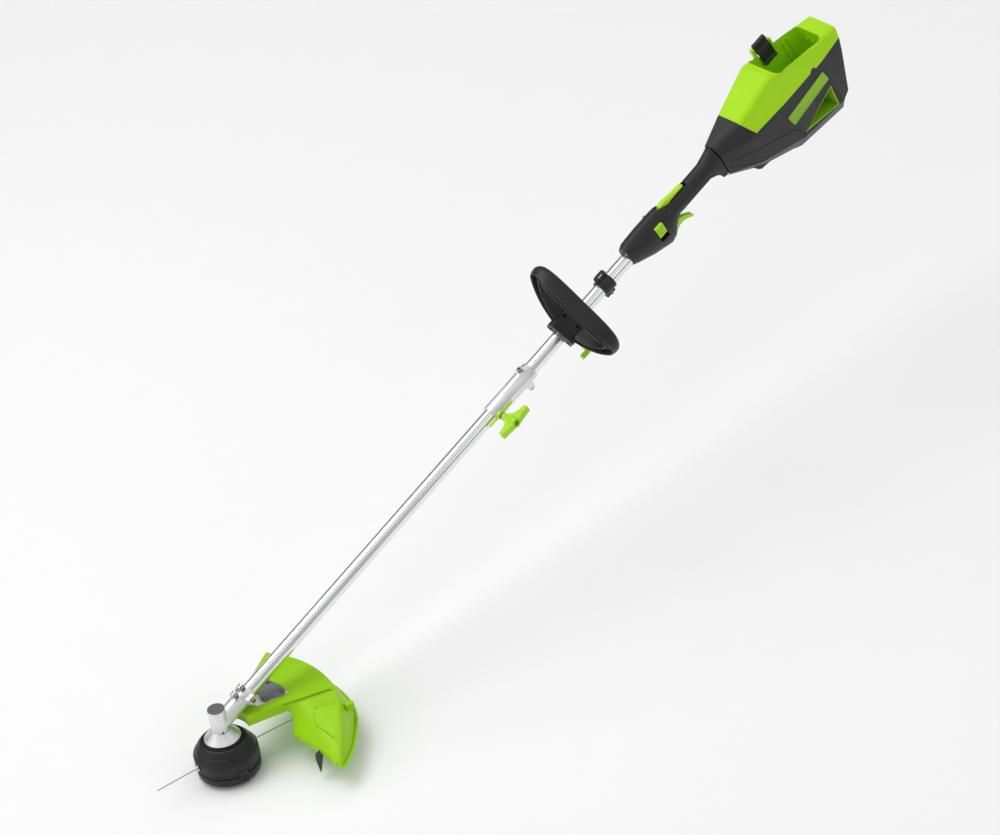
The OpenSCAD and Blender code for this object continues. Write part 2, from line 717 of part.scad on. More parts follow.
// The wing sinks a little below the deck, so that it can run into the deck's edge
sink = 0.4;
function ramp_z(a) = a > sector_start ? deck_z : deck_z + (a - sector_start) * (deck_z - rim_z - 2.5) / (sector_start - wing_end);
function skirt_at(z) = deck_r + (deck_z - z) * (skirt_r - deck_r) / (deck_z - rim_z);
function wing_profile(a) = let (z = ramp_z(a), x = wall_front_x + 20 * (z - rim_z) / (deck_z - rim_z), c = cos(a), g = guard_wall, r = skirt_at(z))
    [for (p = [[wall_front_x / c, rim_z], [x / c, z - 1], [x / c + 3, z], [r - 7, z], [r - 1, z - 1], [skirt_r, rim_z + 1],
        [skirt_r + 7, rim_z + 0.5], [skirt_r + 7, rim_z - 2.3], [skirt_r - g, rim_z - 1.8],
        [r - 1 - g, z - 1 - g / 2], [r - 7 - g / 2, z - g], [x / c + 3 + g / 2, z - g], [x / c + g, z - 1 - g / 2],
        [wall_front_x / c + g, rim_z]]) [p[0] - sink, p[1] - sink]];
module swept_profile(angles, profile_of) {
    lofted([for (a = angles) [for (p = profile_of(a)) [p[0] * cos(a), p[0] * sin(a), p[1]]]]);
}
function deck_profile() = let (g = guard_wall)
    [[47, lip_z], [47, deck_z - 2], [50, deck_z], [deck_r - 7, deck_z], [deck_r - 1, deck_z - 1], [skirt_r, rim_z + 1],
     [skirt_r + 7, rim_z + 0.5], [skirt_r + 7, rim_z - 2.3], [skirt_r - g, rim_z - 1.8],
     [deck_r - 1 - g, deck_z - 1 - g / 2], [deck_r - 7 - g / 2, deck_z - g], [50, deck_z - g], [50, lip_z]];
module guard() {
    color(green) difference() {
        union() {
            swept_profile([for (i = [0:24]) wing_end + (sector_start + 3.1 - wing_end) * i / 24], function (a) wing_profile(a));
            rotate([0, 0, sector_start]) rotate_extrude(angle = sector_end - sector_start, $fn = 180)
                polygon(deck_profile());
            // Lips down the two straight edges
            rotate([0, 0, sector_start]) translate([48.4, 0, lip_z - 0.6]) cube([74, guard_wall, 21]);
            rotate([0, 0, sector_end]) rotate([90, 0, 0]) linear_extrude(guard_wall) polygon([[48.4, lip_z - 0.6],
                [48.4, deck_z - 1.6], [deck_r - 9, deck_z - 1], [deck_r - 3, deck_z - 3], [skirt_r - 2, rim_z + 2],
                [skirt_r - 10, rim_z + 2], [deck_r - 12, lip_z - 0.6]]);
        }
        for (p = plate_screw_places) translate([p[0], p[1], 80]) cylinder(d = 4.2, h = 40);
        // Slot that holds the line cutter
        blade_place() translate([-0.1, -9, 30]) cube([1.8, 24, 20.2]);
    }
}
blade_azimuth = -57;
module blade_place() {
    rotate([0, 0, blade_azimuth]) translate([165, 0, 0]) rotate([0, 0, -24]) children();
}
module cutoff_blade() {
    color(steel) blade_place() rotate([90, 0, 90]) linear_extrude(1.6) polygon([[-6, 50], [-8, 38], [-3, 8], [9, 36], [14, 50]]);
}
module boom_screws() {
    color(steel) {
        for (p = plate_screw_places) translate([p[0], p[1], deck_z + 5 + 3.4]) screw(4.2, 14);
        for (s = [50.5, 67.5]) on_boom(s, 21, 6 + 4) rotate([90, 0, 0]) screw(5, 18);
        on_boom(64, 3, 25 + 4) rotate([90, 0, 0]) screw(5, 13);
    }
}

// ---------- spool head ----------
module spool_housing() {
    color(black) difference() {
        rotate_extrude($fn = 96) polygon([[5, 74], [5, 30], [11, 30], [11, 61.5], [41, 61.5], [49.5, 51], [53, 44], [53, 25.2], [head_d / 2 - 2, 25.2],
            [head_d / 2, 28], [head_d / 2, 46], [head_d / 2 - 3, 53], [head_d / 2 - 12, 65], [40, 69], [37, 69.6],
            [37, 67.4], [34, 67.4], [34, 70.6], [14, 70.6], [14, 74]]);
        for (a = [0, 180]) rotate([0, 0, line_azimuth + a]) translate([45, 0, 37]) rotate([0, 90, 0]) cylinder(d = 8, h = 20);
        // Windows for the cover's two clips
        for (a = [0, 180]) rotate([0, 0, line_azimuth + 90 + a]) translate([50, -9, 20]) cube([20, 18, 14]);
    }
}
module spool_cover() {
    color(black) difference() {
        union() {
            rotate_extrude($fn = 96) polygon([[28, 3], [49, 3], [53, 6], [54.5, 10], [54.5, 21], [52.5, 22], [52.5, 25], [50, 25],
                [50, 7], [28, 7]]);
            for (a = [0, 180]) rotate([0, 0, line_azimuth + 90 + a]) translate([50.2, -8.5, 8]) cube([5.4, 17, 24.5]);
        }
    }
}
module eyelets() {
    color(steel) for (a = [0, 180]) rotate([0, 0, line_azimuth + a]) translate([49.6, 0, 37]) rotate([0, 90, 0]) {
        ring(8, 4.4, 6.6);
        translate([0, 0, 6.4]) ring(11, 4.4, 1.8);
    }
}
module bump_knob() {
    color(black) rotate_extrude($fn = 96) polygon([[0, 0], [18, 0], [24, 2.5], [27.4, 7], [27.4, 10.5], [31, 10.5], [31, 14],
        [5.6, 14], [5.6, 6], [0, 6]]);
}
module inner_spool() {
    color(grey) rotate_extrude($fn = 96) polygon([[11.4, 14.1], [46, 14.1], [46, 16], [20, 16], [20, 33], [46, 33], [46, 34.6],
        [20, 34.6], [20, 49], [40, 49], [40, 51], [11.4, 51]]);
}
module wound_line() {
    color(green) for (z = [16.2, 34.8]) translate([0, 0, z]) rotate_extrude($fn = 96) polygon([[20.1, 0], [38, 0],
        [38, 14], [20.1, 14]]);
}
spring_turns = 3;
spring_points = [for (i = [0:spring_turns * 16]) let (a = 360 * i / 16)
    [14 * cos(a), 14 * sin(a), 52 + 8.5 * i / (spring_turns * 16)]];
module bump_spring() {
    color(steel) swept_tube(spring_points, 0.8, 8);
}
module line_end(azimuth, reach) {
    exit_r = 48.5;
    n = 24;
    color(green) rotate([0, 0, azimuth]) swept_tube([for (i = [0:n])
        [exit_r + (reach - exit_r) * i / n, 0, 37 - 2 * pow(i / n, 2)]], line_d / 2, 8);
}
module line_short() {
    line_end(line_azimuth + 180, short_reach);
}
module line_long() {
    line_end(line_azimuth, long_reach);
}

upper_tube();
upper_bushes();
hanger_clamp();
hanger_screw();
coupler_sleeve();
coupler_bolt();
coupler_saddle();
handle_near();
handle_far();
grip_panel();
case_screws();
trigger_switch();
housing_near();
housing_far();
bay_shell();
window_frame();
badge_plates();
terminal_block();
control_board();
motor_stator();
motor_bearings();
pivot_pins();
battery_latch();
trigger();
lock_lever();
speed_slider();
motor_rotor();
cooling_fan();
upper_drive_shaft();
loop_handle();
loop_clamp();
loop_bolt();
clamp_lever();
t_knob();
knob_stud();
lower_tube();
lower_bushes();
gearbox_housing();
gearbox_cap();
dust_cover();
gearbox_bearings();
guard_bracket();
bracket_plate();
guard();
cutoff_blade();
boom_screws();
detent_button();
lower_drive_shaft();
pinion_gear();
output_shaft();
bevel_gear();
spool_housing();
spool_cover();
eyelets();
bump_knob();
inner_spool();
wound_line();
bump_spring();
line_short();
line_long();
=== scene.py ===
"""Looks of the string trimmer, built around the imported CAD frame.

The frame is in metres. Pieces are drawn in millimetres in one of three places: ROW (the whole object, spool axis
upright), BOOM (x along the boom from the point where it meets the spool axis) and LOOP (the loop handle's clamp).
"""
import json
import math

import bmesh
import bpy
from mathutils import Matrix, Vector
from mathutils.bvhtree import BVHTree


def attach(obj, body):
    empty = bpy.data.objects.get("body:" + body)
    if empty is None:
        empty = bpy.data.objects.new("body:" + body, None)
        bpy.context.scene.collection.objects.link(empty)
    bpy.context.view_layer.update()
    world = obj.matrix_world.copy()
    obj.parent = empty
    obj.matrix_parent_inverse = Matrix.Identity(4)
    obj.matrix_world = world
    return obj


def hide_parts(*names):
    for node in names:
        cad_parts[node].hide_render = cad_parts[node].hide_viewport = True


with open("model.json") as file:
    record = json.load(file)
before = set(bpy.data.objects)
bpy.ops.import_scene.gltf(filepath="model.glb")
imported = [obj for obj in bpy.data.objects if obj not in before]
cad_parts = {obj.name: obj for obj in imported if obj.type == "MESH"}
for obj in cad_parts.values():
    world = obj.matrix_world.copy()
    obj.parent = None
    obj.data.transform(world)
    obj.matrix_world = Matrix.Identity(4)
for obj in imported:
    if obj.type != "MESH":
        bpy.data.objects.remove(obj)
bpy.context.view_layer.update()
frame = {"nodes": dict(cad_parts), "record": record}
MM = 0.001

# ---------- camera ----------
VIEW_AZIMUTH, VIEW_ELEVATION, VIEW_ROLL = -34.5, 33.9, 11.52
VIEW_DISTANCE, VIEW_LENS, SENSOR = 9.5, 200.5, 36.0
AIM = Vector((0.68390, 0.00358, 0.32927))


def aim_camera():
    az, el, roll = (math.radians(v) for v in (VIEW_AZIMUTH, VIEW_ELEVATION, VIEW_ROLL))
    back = Vector((math.sin(az) * math.cos(el), -math.cos(az) * math.cos(el), math.sin(el)))
    level = Vector((math.cos(az), math.sin(az), 0))
    rise = back.cross(level)
    right = level * math.cos(roll) - rise * math.sin(roll)
    up = level * math.sin(roll) + rise * math.cos(roll)
    lens = bpy.data.cameras.new("camera")
    lens.lens, lens.sensor_width, lens.clip_end = VIEW_LENS, SENSOR, 60
    camera = bpy.data.objects.new("camera", lens)
    turn = Matrix((right, up, back)).transposed().to_4x4()
    camera.matrix_world = Matrix.Translation(AIM + VIEW_DISTANCE * back) @ turn
    bpy.context.scene.collection.objects.link(camera)
    bpy.context.scene.camera = camera


aim_camera()

# ---------- frames of the object ----------
BOOM_ANGLE, CROSS_Z = math.radians(20.5), 100
ROW = Matrix.Identity(4)
BOOM = Matrix.Translation((0, 0, CROSS_Z)) @ Matrix.Rotation(-BOOM_ANGLE, 4, "Y")
LOOP = BOOM @ Matrix.Translation((918, 0, 0)) @ Matrix.Rotation(math.radians(40), 4, "X")


# ---------- materials ----------
class Nodes:
    """Short way to add and join shader nodes."""

    def __init__(self, tree):
        self.tree = tree
        tree.nodes.clear()

    def add(self, kind, **inputs):
        node = self.tree.nodes.new(kind)
        for name, value in inputs.items():
            if name.startswith("_"):
                setattr(node, name[1:], value)
            else:
                self.put(node.inputs[name.replace("0", " ")], value)
        return node

    def put(self, socket, value):
        if isinstance(value, bpy.types.NodeSocket):
            self.tree.links.new(value, socket)
        elif value is not None:
            socket.default_value = value

    def ramp(self, factor, stops):
        node = self.add("ShaderNodeValToRGB", Fac=factor)
        while len(node.color_ramp.elements) < len(stops):
            node.color_ramp.elements.new(0.5)
        for element, (place, value) in zip(node.color_ramp.elements, stops):
            element.position = place
            element.color = (value, value, value, 1) if not hasattr(value, "__len__") else (*value, 1)
        return node.outputs["Color"]

    def noise(self, coords, scale, detail=3.0, rough=0.5):
        node = self.add("ShaderNodeTexNoise", Vector=coords, Scale=scale, Detail=detail, Roughness=rough)
        return node.outputs["Fac"]

    def math(self, kind, a, b=0.0):
        node = self.tree.nodes.new("ShaderNodeMath")
        node.operation = kind
        self.put(node.inputs[0], a)
        self.put(node.inputs[1], b)
        return node.outputs[0]

    def mix(self, factor, a, b):
        node = self.tree.nodes.new("ShaderNodeMix")
        node.data_type = "RGBA"
        for socket, value in zip((node.inputs[0], node.inputs[6], node.inputs[7]), (factor, a, b)):
            self.put(socket, value if not isinstance(value, tuple) else (*value, 1))
        return node.outputs[2]


def shade(name, colour, rough, metal=0.0, level=0.4, grain=0.0, grain_scale=1800.0, mottle=0.06, wear=0.0,
          wear_colour=None, streaks=None, spread=0.06):
    """A procedural finish: mottled colour, worn edges, uneven roughness and a fine moulded or drawn grain."""
    mat = bpy.data.materials.new(name)
    mat.use_nodes = True
    n = Nodes(mat.node_tree)
    coords = n.add("ShaderNodeTexCoord").outputs["Object"]
    soft = n.noise(coords, 14.0, 4.0)
    fine = n.noise(coords, 160.0, 3.0, 0.6)
    dull, bright = tuple(c * (1 - mottle) for c in colour), tuple(min(1, c * (1 + mottle)) for c in colour)
    tone = n.ramp(soft, [(0.3, dull), (0.7, bright)])
    if wear:
        edge = n.add("ShaderNodeNewGeometry").outputs["Pointiness"]
        worn = n.ramp(edge, [(0.52, 0.0), (0.62, wear)])
        patchy = n.math("MULTIPLY", worn, n.ramp(fine, [(0.35, 0.3), (0.65, 1.0)]))
        tone = n.mix(patchy, tone, wear_colour or tuple(min(1, c * 2.4 + 0.04) for c in colour))
    mixed = n.math("ADD", n.math("MULTIPLY", soft, 0.6), n.math("MULTIPLY", fine, 0.4))
    uneven = n.add("ShaderNodeMapRange", Value=mixed)
    uneven.inputs["From Min"].default_value, uneven.inputs["From Max"].default_value = 0.3, 0.7
    uneven.inputs["To Min"].default_value = max(0.03, rough - spread)
    uneven.inputs["To Max"].default_value = rough + spread
    shader = n.add("ShaderNodeBsdfPrincipled", Roughness=uneven.outputs[0], Metallic=metal)
    n.put(shader.inputs["Base Color"], tone)
    shader.inputs["Specular IOR Level"].default_value = level
    if grain:
        where = coords
        if streaks:
            stretch = n.add("ShaderNodeMapping", Vector=coords)
            stretch.inputs["Rotation"].default_value = (0, BOOM_ANGLE if streaks == "boom" else 0, 0)
            stretch.inputs["Scale"].default_value = (0.02, 1, 1) if streaks == "boom" else (1, 1, 0.03)
            where = stretch.outputs[0]
        bump = n.add("ShaderNodeBump", Height=n.noise(where, grain_scale, 2.0), Strength=grain, Distance=0.0002)
        n.put(shader.inputs["Normal"], bump.outputs[0])
    out = n.add("ShaderNodeOutputMaterial")
    n.put(out.inputs["Surface"], shader.outputs[0])
    return mat


# GREEN is the shell's green as seen on its lit top faces; SHADED_SIDE_GREEN is the same green darkened as on the sides
# away from the light, a painted shade.
GREEN, GUARD_GREEN, SHADED_SIDE_GREEN = (0.40, 0.76, 0.006), (0.335, 0.66, 0.005), (0.25, 0.50, 0.018)
FINISH = {
    "polished_tube": shade("polished_tube", (0.84, 0.845, 0.86), 0.2, 1.0,
                           grain=0.05, grain_scale=900, mottle=0.01, streaks="boom", spread=0.03),
    "cast_silver": shade("cast_silver", (0.80, 0.80, 0.81), 0.42, 1.0,
                         grain=0.1, grain_scale=1400, mottle=0.02, spread=0.05),
    "bearing_plastic": shade("bearing_plastic", (0.03, 0.03, 0.03), 0.5, grain=0.2),
    "black_shell": shade("black_shell", (0.018, 0.018, 0.019), 0.42,
                         level=0.34, grain=0.35, grain_scale=2600, mottle=0.12, wear=0.16),
    "loop_black": shade("loop_black", (0.014, 0.014, 0.015), 0.40,
                        level=0.34, grain=0.3, grain_scale=2400, mottle=0.12, wear=0.12),
    "spool_black": shade("spool_black", (0.014, 0.014, 0.015), 0.38,
                         level=0.32, grain=0.25, grain_scale=2200, mottle=0.15, wear=0.16),
    "grip_rubber": shade("grip_rubber", (0.017, 0.017, 0.018), 0.6,
                         level=0.3, grain=0.6, grain_scale=1500, mottle=0.12, wear=0.1),
    "green_shell": shade("green_shell", GREEN, 0.36,
                         level=0.2, grain=0.16, grain_scale=2400, mottle=0.03, wear=0.12, wear_colour=(0.62, 0.9, 0.2)),
    "green_lever": shade("green_lever", GREEN, 0.32,
                         level=0.38, grain=0.12, grain_scale=2200, mottle=0.03, wear=0.12, wear_colour=(0.62, 0.9, 0.2)),
    # deep_green is painted shade: the shell's green darkened as on its shaded sides, used on the badges and the bay
    # seams.
    "deep_green": shade("deep_green", SHADED_SIDE_GREEN, 0.42, level=0.3, grain=0.16, mottle=0.05),
    "guard_green": shade("guard_green", GUARD_GREEN, 0.40,
                         level=0.2, grain=0.22, grain_scale=2000, mottle=0.05, wear=0.14, wear_colour=(0.55, 0.82, 0.15)),
    "grey_part": shade("grey_part", (0.125, 0.125, 0.13), 0.5, grain=0.3, mottle=0.1),
    "dark_plate": shade("dark_plate", (0.17, 0.17, 0.175), 0.5,
                        level=0.2, grain=0.3, grain_scale=1600, mottle=0.08, wear=0.2),
    "screw_steel": shade("screw_steel", (0.3, 0.3, 0.32), 0.45, 1.0, grain=0.2, mottle=0.08),
    "bearing_steel": shade("bearing_steel", (0.62, 0.62, 0.64), 0.22, 1.0, grain=0.1),
    "shaft_steel": shade("shaft_steel", (0.5, 0.5, 0.52), 0.3, 1.0, grain=0.2, streaks="boom"),
    "gear_steel": shade("gear_steel", (0.42, 0.42, 0.44), 0.34, 1.0, grain=0.3),
    "blade_steel": shade("blade_steel", (0.075, 0.075, 0.08), 0.42, 0.6, grain=0.3, mottle=0.15, wear=0.3),
    "spring_steel": shade("spring_steel", (0.4, 0.4, 0.42), 0.3, 1.0),
    "copper_winding": shade("copper_winding", (0.6, 0.24, 0.08), 0.35, 0.8, grain=0.6, grain_scale=700),
    "board": shade("board", (0.03, 0.16, 0.06), 0.4, grain=0.3),
    "line_green": shade("line_green", (0.20, 0.50, 0.15), 0.34, level=0.4, grain=0.1, mottle=0.08),
}
# Darker green painted as the shade in the guard's crease and grooves, laid on as thin strips.
PAINTED_CREASE_SHADE = shade("painted_crease_shade", (0.19, 0.40, 0.006), 0.45, level=0.15, grain=0.2, mottle=0.04)
# Near black used for the dark seam lines, and as painted shade in the screw wells and behind the grip's joint.
SEAM_DARK_AND_PAINTED_SHADE = shade("seam_dark_and_painted_shade", (0.004, 0.004, 0.004), 0.8, level=0.1, grain=0.2)

SLOT = {s["node"]: s["material_slot"] for s in frame["record"]["subparts"]}
# Radius in millimetres that each CAD piece's edges are rounded by
SOFT_EDGE = {
    "default": 0.4, "housing_near": 1.6, "housing_far": 1.6, "bay_shell": 1.4, "handle_near": 1.0, "handle_far": 1.0,
    "speed_slider": 0.8, "lock_lever": 1.2, "trigger": 1.2, "t_knob": 1.2, "battery_latch": 0.9, "window_frame": 0.8,
    "badge_plates": 0.3, "clamp_lever": 1.0, "guard_bracket": 0.8, "coupler_sleeve": 0.5, "hanger_clamp": 0.7,
    "gearbox_housing": 0.9, "cutoff_blade": 0.25, "loop_clamp": 1.5,
}


def dress_frame():
    """Every CAD node that stays visible gets its finish, and edges rounded by a bevel."""
    for name, obj in frame["nodes"].items():
        obj.data.materials.clear()
        obj.data.materials.append(FINISH[SLOT[name]])
        if name.startswith("line_"):
            continue
        weld = obj.modifiers.new("weld", "WELD")
        weld.merge_threshold = 2e-6
        bevel = obj.modifiers.new("soft_edges", "BEVEL")
        bevel.width = SOFT_EDGE.get(name, SOFT_EDGE["default"]) * MM
        bevel.segments, bevel.limit_method, bevel.angle_limit = 2, "ANGLE", math.radians(28)
        bevel.harden_normals, bevel.use_clamp_overlap = True, True


dress_frame()

# ---------- mesh tools ----------
def emit(name, verts, faces, body, slot, at=ROW, replaces=(), bevel=0.0, sharp=32, finish=None):
    """A new piece from points in millimetres in the frame at, riding on a body."""
    mesh = bpy.data.meshes.new(name)
    mesh.from_pydata([(at @ Vector(v)) * MM for v in verts], [], faces)
    tidy = bmesh.new()
    tidy.from_mesh(mesh)
    bmesh.ops.remove_doubles(tidy, verts=tidy.verts, dist=2e-6)
    bmesh.ops.recalc_face_normals(tidy, faces=tidy.faces)
    tidy.to_mesh(mesh)
    tidy.free()
    mesh.shade_smooth()
    mesh.set_sharp_from_angle(angle=math.radians(sharp))
    mesh.materials.append(finish or FINISH[slot])
    obj = bpy.data.objects.new(name, mesh)
    bpy.context.scene.collection.objects.link(obj)
    if bevel:
        soften = obj.modifiers.new("soft_edges", "BEVEL")
        soften.width, soften.segments, soften.limit_method = bevel * MM, 3, "ANGLE"
        soften.angle_limit, soften.harden_normals = math.radians(28), True
    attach(obj, body)
    if replaces:
        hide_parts(*replaces)
    return obj


def cut(obj, tools):
    """Takes helper meshes, given as (points, faces, frame), away from a piece."""
    for verts, faces, at in tools:
        mesh = bpy.data.meshes.new("tool")
        mesh.from_pydata([(at @ Vector(v)) * MM for v in verts], [], faces)
        tidy = bmesh.new()
        tidy.from_mesh(mesh)
        bmesh.ops.recalc_face_normals(tidy, faces=tidy.faces)
        tidy.to_mesh(mesh)
        tidy.free()
        tool = bpy.data.objects.new("tool", mesh)
        bpy.context.scene.collection.objects.link(tool)
        step = obj.modifiers.new("cut", "BOOLEAN")
        step.operation, step.solver, step.object = "DIFFERENCE", "EXACT", tool
        bpy.context.view_layer.update()
        done = bpy.data.meshes.new_from_object(obj.evaluated_get(bpy.context.evaluated_depsgraph_get()))
        obj.modifiers.remove(step)
        obj.data = done
        bpy.data.objects.remove(tool)
    obj.data.set_sharp_from_angle(angle=math.radians(32))


def block(low, high):
    verts = [(x, y, z) for x in (low[0], high[0]) for y in (low[1], high[1]) for z in (low[2], high[2])]
    return verts, [(0, 1, 3, 2), (4, 6, 7, 5), (0, 4, 5, 1), (2, 3, 7, 6), (0, 2, 6, 4), (1, 5, 7, 3)]


def rings_to_mesh(rings):
    """A skin over rings of points, closed at both ends."""
    n, m = len(rings[0]), len(rings)
    verts = [p for ring in rings for p in ring]
    faces = [(i * n + k, i * n + (k + 1) % n, (i + 1) * n + (k + 1) % n, (i + 1) * n + k)
             for i in range(m - 1) for k in range(n)]
    return verts, faces + [tuple(range(n - 1, -1, -1)), tuple(range((m - 1) * n, m * n))]


def turned(profile, axis="z", segments=96):
    """A body of revolution from a closed outline of (along, radius) points."""
    rings = []
    for k in range(segments):
        a = 2 * math.pi * k / segments
        c, s = math.cos(a), math.sin(a)
        rings.append([(r * c, r * s, along) if axis == "z" else (along, r * c, r * s) for along, r in profile])
    n = len(profile)
    verts = [p for ring in rings for p in ring]
    faces = []
    for i in range(segments):
        j = (i + 1) % segments
        for k in range(n):
            faces.append((i * n + k, j * n + k, j * n + (k + 1) % n, i * n + (k + 1) % n))
    return verts, faces


def rounded(points, radius=1.0, steps=3, closed=True):
    """Rounds the corners of a flat outline."""
    out = []
    n = len(points)
    for i, p in enumerate(points):
        if not closed and i in (0, n - 1):
            out.append(p)
            continue
        p, before, after = Vector(p), Vector(points[i - 1]), Vector(points[(i + 1) % n])
        r = min(radius, (p - before).length * 0.45, (p - after).length * 0.45)
        a, b = p + (before - p).normalized() * r, p + (after - p).normalized() * r
        for k in range(steps + 1):
            f = k / steps
            out.append(tuple(a * (1 - f) ** 2 + p * 2 * f * (1 - f) + b * f ** 2))
    return out


def spline(points, steps):
    """Smooth curve through points of any dimension."""
    pts = [Vector(p) for p in points]
    out = []
    for i in range(len(pts) - 1):
        a, b, c, d = pts[max(i - 1, 0)], pts[i], pts[i + 1], pts[min(i + 2, len(pts) - 1)]
        square, cube = 2 * a - 5 * b + 4 * c - d, 3 * b - a - 3 * c + d
        for k in range(steps):
            f = k / steps
            out.append(0.5 * (2 * b + (c - a) * f + square * f * f + cube * f ** 3))
    return out + [pts[-1]]


def swept(path, profile, out_of):
    """Sweeps a flat profile (u away from out_of's side, v along out_of) along a path."""
    rings = []
    n = len(path)
    for i, p in enumerate(path):
        d = (path[min(i + 1, n - 1)] - path[max(i - 1, 0)]).normalized()
        v = (Vector(out_of) - d * d.dot(Vector(out_of))).normalized()
        u = d.cross(v)
        rings.append([tuple(p + u * a + v * b) for a, b in (profile(i / (n - 1)) if callable(profile) else profile)])
    return rings_to_mesh(rings)


def smooth_step(x, low, high):
    t = min(1.0, max(0.0, (x - low) / (high - low)))
    return t * t * (3 - 2 * t)


# ---------- free ends of the cutting line ----------
LINE_AZIMUTH, LINE_EXIT, LINE_Z, LINE_D = -8, 48.5, 37, 2


def line_end(name, azimuth, reach):
    """Stiff nylon line, straight out of its eyelet and drooping a little towards the tip."""
    turn = Matrix.Rotation(math.radians(azimuth), 4, "Z")
    places = [(LINE_EXIT + (reach - LINE_EXIT) * k / 24, 0, LINE_Z - 2 * (k / 24) ** 2) for k in range(25)]
    route = [turn @ Vector(place) * MM for place in places]
    curve = bpy.data.curves.new(name, "CURVE")
    curve.dimensions, curve.bevel_depth, curve.bevel_resolution, curve.use_fill_caps = "3D", LINE_D / 2 * MM, 3, True
    path = curve.splines.new("POLY")
    path.points.add(len(route) - 1)
    for point, place in zip(path.points, route):
        point.co = (*place, 1)
    curve.materials.append(FINISH["line_green"])
    cord = bpy.data.objects.new(name + "_cord", curve)
    bpy.context.scene.collection.objects.link(cord)
    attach(cord, "spool_head")
    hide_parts(name)


# The last number is how far the tip is from the spool's axis
line_end("line_long", LINE_AZIMUTH, 152)
line_end("line_short", LINE_AZIMUTH + 180, 137)


# ---------- boom ----------
TUBE_R, TUBE_WALL = 12.7, 1.6


def tube(name, start, end, body):
    r, wall = TUBE_R, TUBE_WALL
    profile = rounded([(start, r), (end, r), (end, r - wall), (start, r - wall)], 0.4)
    verts, faces = turned(profile, "x", 96)
    emit(name + "_skin", verts, faces, body, "polished_tube", BOOM, [name])


tube("lower_tube", 22, 760, "lower_boom")
tube("upper_tube", 770, 1100, "rear_unit")


# ---------- line head ----------
def line_head():
    """The spool housing and cover, turned with their grooves and lips, the dish above them and the two clips."""
    housing = rounded([
        (30, 11), (61.5, 11), (61.5, 41), (51, 49.5), (44, 53), (25.2, 53), (25.2, 55.2), (27.4, 56), (28.2, 55.3),
        (29.4, 55.3), (30.2, 56), (46, 55.8), (49.5, 54.6), (50.4, 53.2), (58.5, 48.4), (59.2, 46.6), (60.4, 46.6),
        (61, 47.0), (66.4, 42.2), (69, 39.6), (69.6, 37), (67.4, 36.6), (67.4, 34.4), (70.6, 33.6), (70.6, 14),
        (74, 13.6), (74, 5), (30, 5)], 0.9)
    verts, faces = turned(housing, "z", 128)
    head = emit("spool_housing_skin", verts, faces, "spool_head", "spool_black", ROW, ["spool_housing"])
    tools = []
    for side in (0, 180):
        turn = Matrix.Rotation(math.radians(LINE_AZIMUTH + side), 4, "Z")
        hole, hole_faces = turned([(49, 0.0), (49, 4.1), (62, 4.1), (62, 0.0)], "x", 32)
        tools.append((hole, hole_faces, turn @ Matrix.Translation((0, 0, 37))))
        gap = turn @ Matrix.Rotation(math.radians(90), 4, "Z")
        tools.append((*block((51, -9.2, 20), (64, 9.2, 34)), gap))
    cut(head, tools)
    cover = rounded([(3, 28), (3, 47), (4.2, 49.5), (8.5, 53.6), (10, 54.6), (20.4, 54.9), (21.4, 54.2), (22, 52.6),
                     (25, 52.4), (25, 50), (7, 50), (7, 28)], 0.8)
    verts, faces = turned(cover, "z", 128)
    emit("spool_cover_skin", verts, faces, "spool_head", "spool_black", ROW, ["spool_cover"])
    dish = rounded([(88.8, 15.6), (88.8, 17.2), (87.6, 18.0), (81, 24.4), (75.0, 31.2), (73.4, 31.6), (73.2, 30.6),
                    (79.2, 23.4), (85.0, 17.2), (85.6, 15.6)], 0.5)
    verts, faces = turned(dish, "z", 128)
    emit("dust_cover_skin", verts, faces, "lower_boom", "cast_silver", ROW, ["dust_cover"])
    # Raised rims round the clips and the eyelets
    for side in (0, 90, 180, 270):
        clip = side in (90, 270)
        half, low, high = (12.0, 28.5, 43.0) if clip else (9.5, 28.5, 45.5)
        outline = rounded([(-half, low), (-half, high - 4), (-half + 4, high), (half - 4, high), (half, high - 4),
                           (half, low)], 3.5, 4, False)
        path = []
        for across, z in outline:
            a = math.radians(LINE_AZIMUTH + side) + across / 56.0
            r = 55.4 if z < 46 else 54.6
            path.append(Vector((r * math.cos(a), r * math.sin(a), z)))
        middle = math.radians(LINE_AZIMUTH + side)
        rim = rounded([(-1, -1.6), (1, -1.6), (1, 1.1), (-1, 1.1)], 0.5)
        verts, faces = swept(path, rim, (math.cos(middle), math.sin(middle), 0))
        emit(f"head_rim_{side}", verts, faces, "spool_head", "spool_black")
        if clip:
            turn = Matrix.Rotation(math.radians(LINE_AZIMUTH + side), 4, "Z")
            tab, tab_faces = block((50.6, -8.2, 8), (55.4, 8.2, 32.6))
            emit(f"cover_clip_{side}", tab, tab_faces, "spool_head", "spool_black", turn, bevel=1.1)
            for k, z in enumerate((12, 15, 18)):
                bar_v, bar_f = block((55.2, -6, z), (55.9, 6, z + 1.2))
                emit(f"clip_rib_{side}_{k}", bar_v, bar_f, "spool_head", "spool_black", turn, bevel=0.3)
    knob = rounded([(0, 0.01), (0, 17), (2.4, 24), (7, 27.3), (10.5, 27.4), (10.5, 31), (14, 31), (14, 5.6),
                    (6, 5.6), (6, 0.01)], 1.4)
    verts, faces = turned(knob, "z", 96)
    emit("bump_knob_skin", verts, faces, "bump_unit", "spool_black", ROW, ["bump_knob"])


line_head()


# ---------- guard ----------
DECK_Z, RIM_Z, DECK_R, SKIRT_R = 97.0, 44.0, 205.0, 224.0
FOLD, WING_TO, DECK_TO, LIP = -22.0, -65.0, 28.0, 21.5
NOTCH_R, FRONT_X, FRONT_Y, FRONT_TO, FRONT_RISE = 127.0, 95.0, -68.0, -153.0, 8.0


def polar(r, azimuth, z):
    a = math.radians(azimuth)
    return Vector((r * math.cos(a), r * math.sin(a), z))


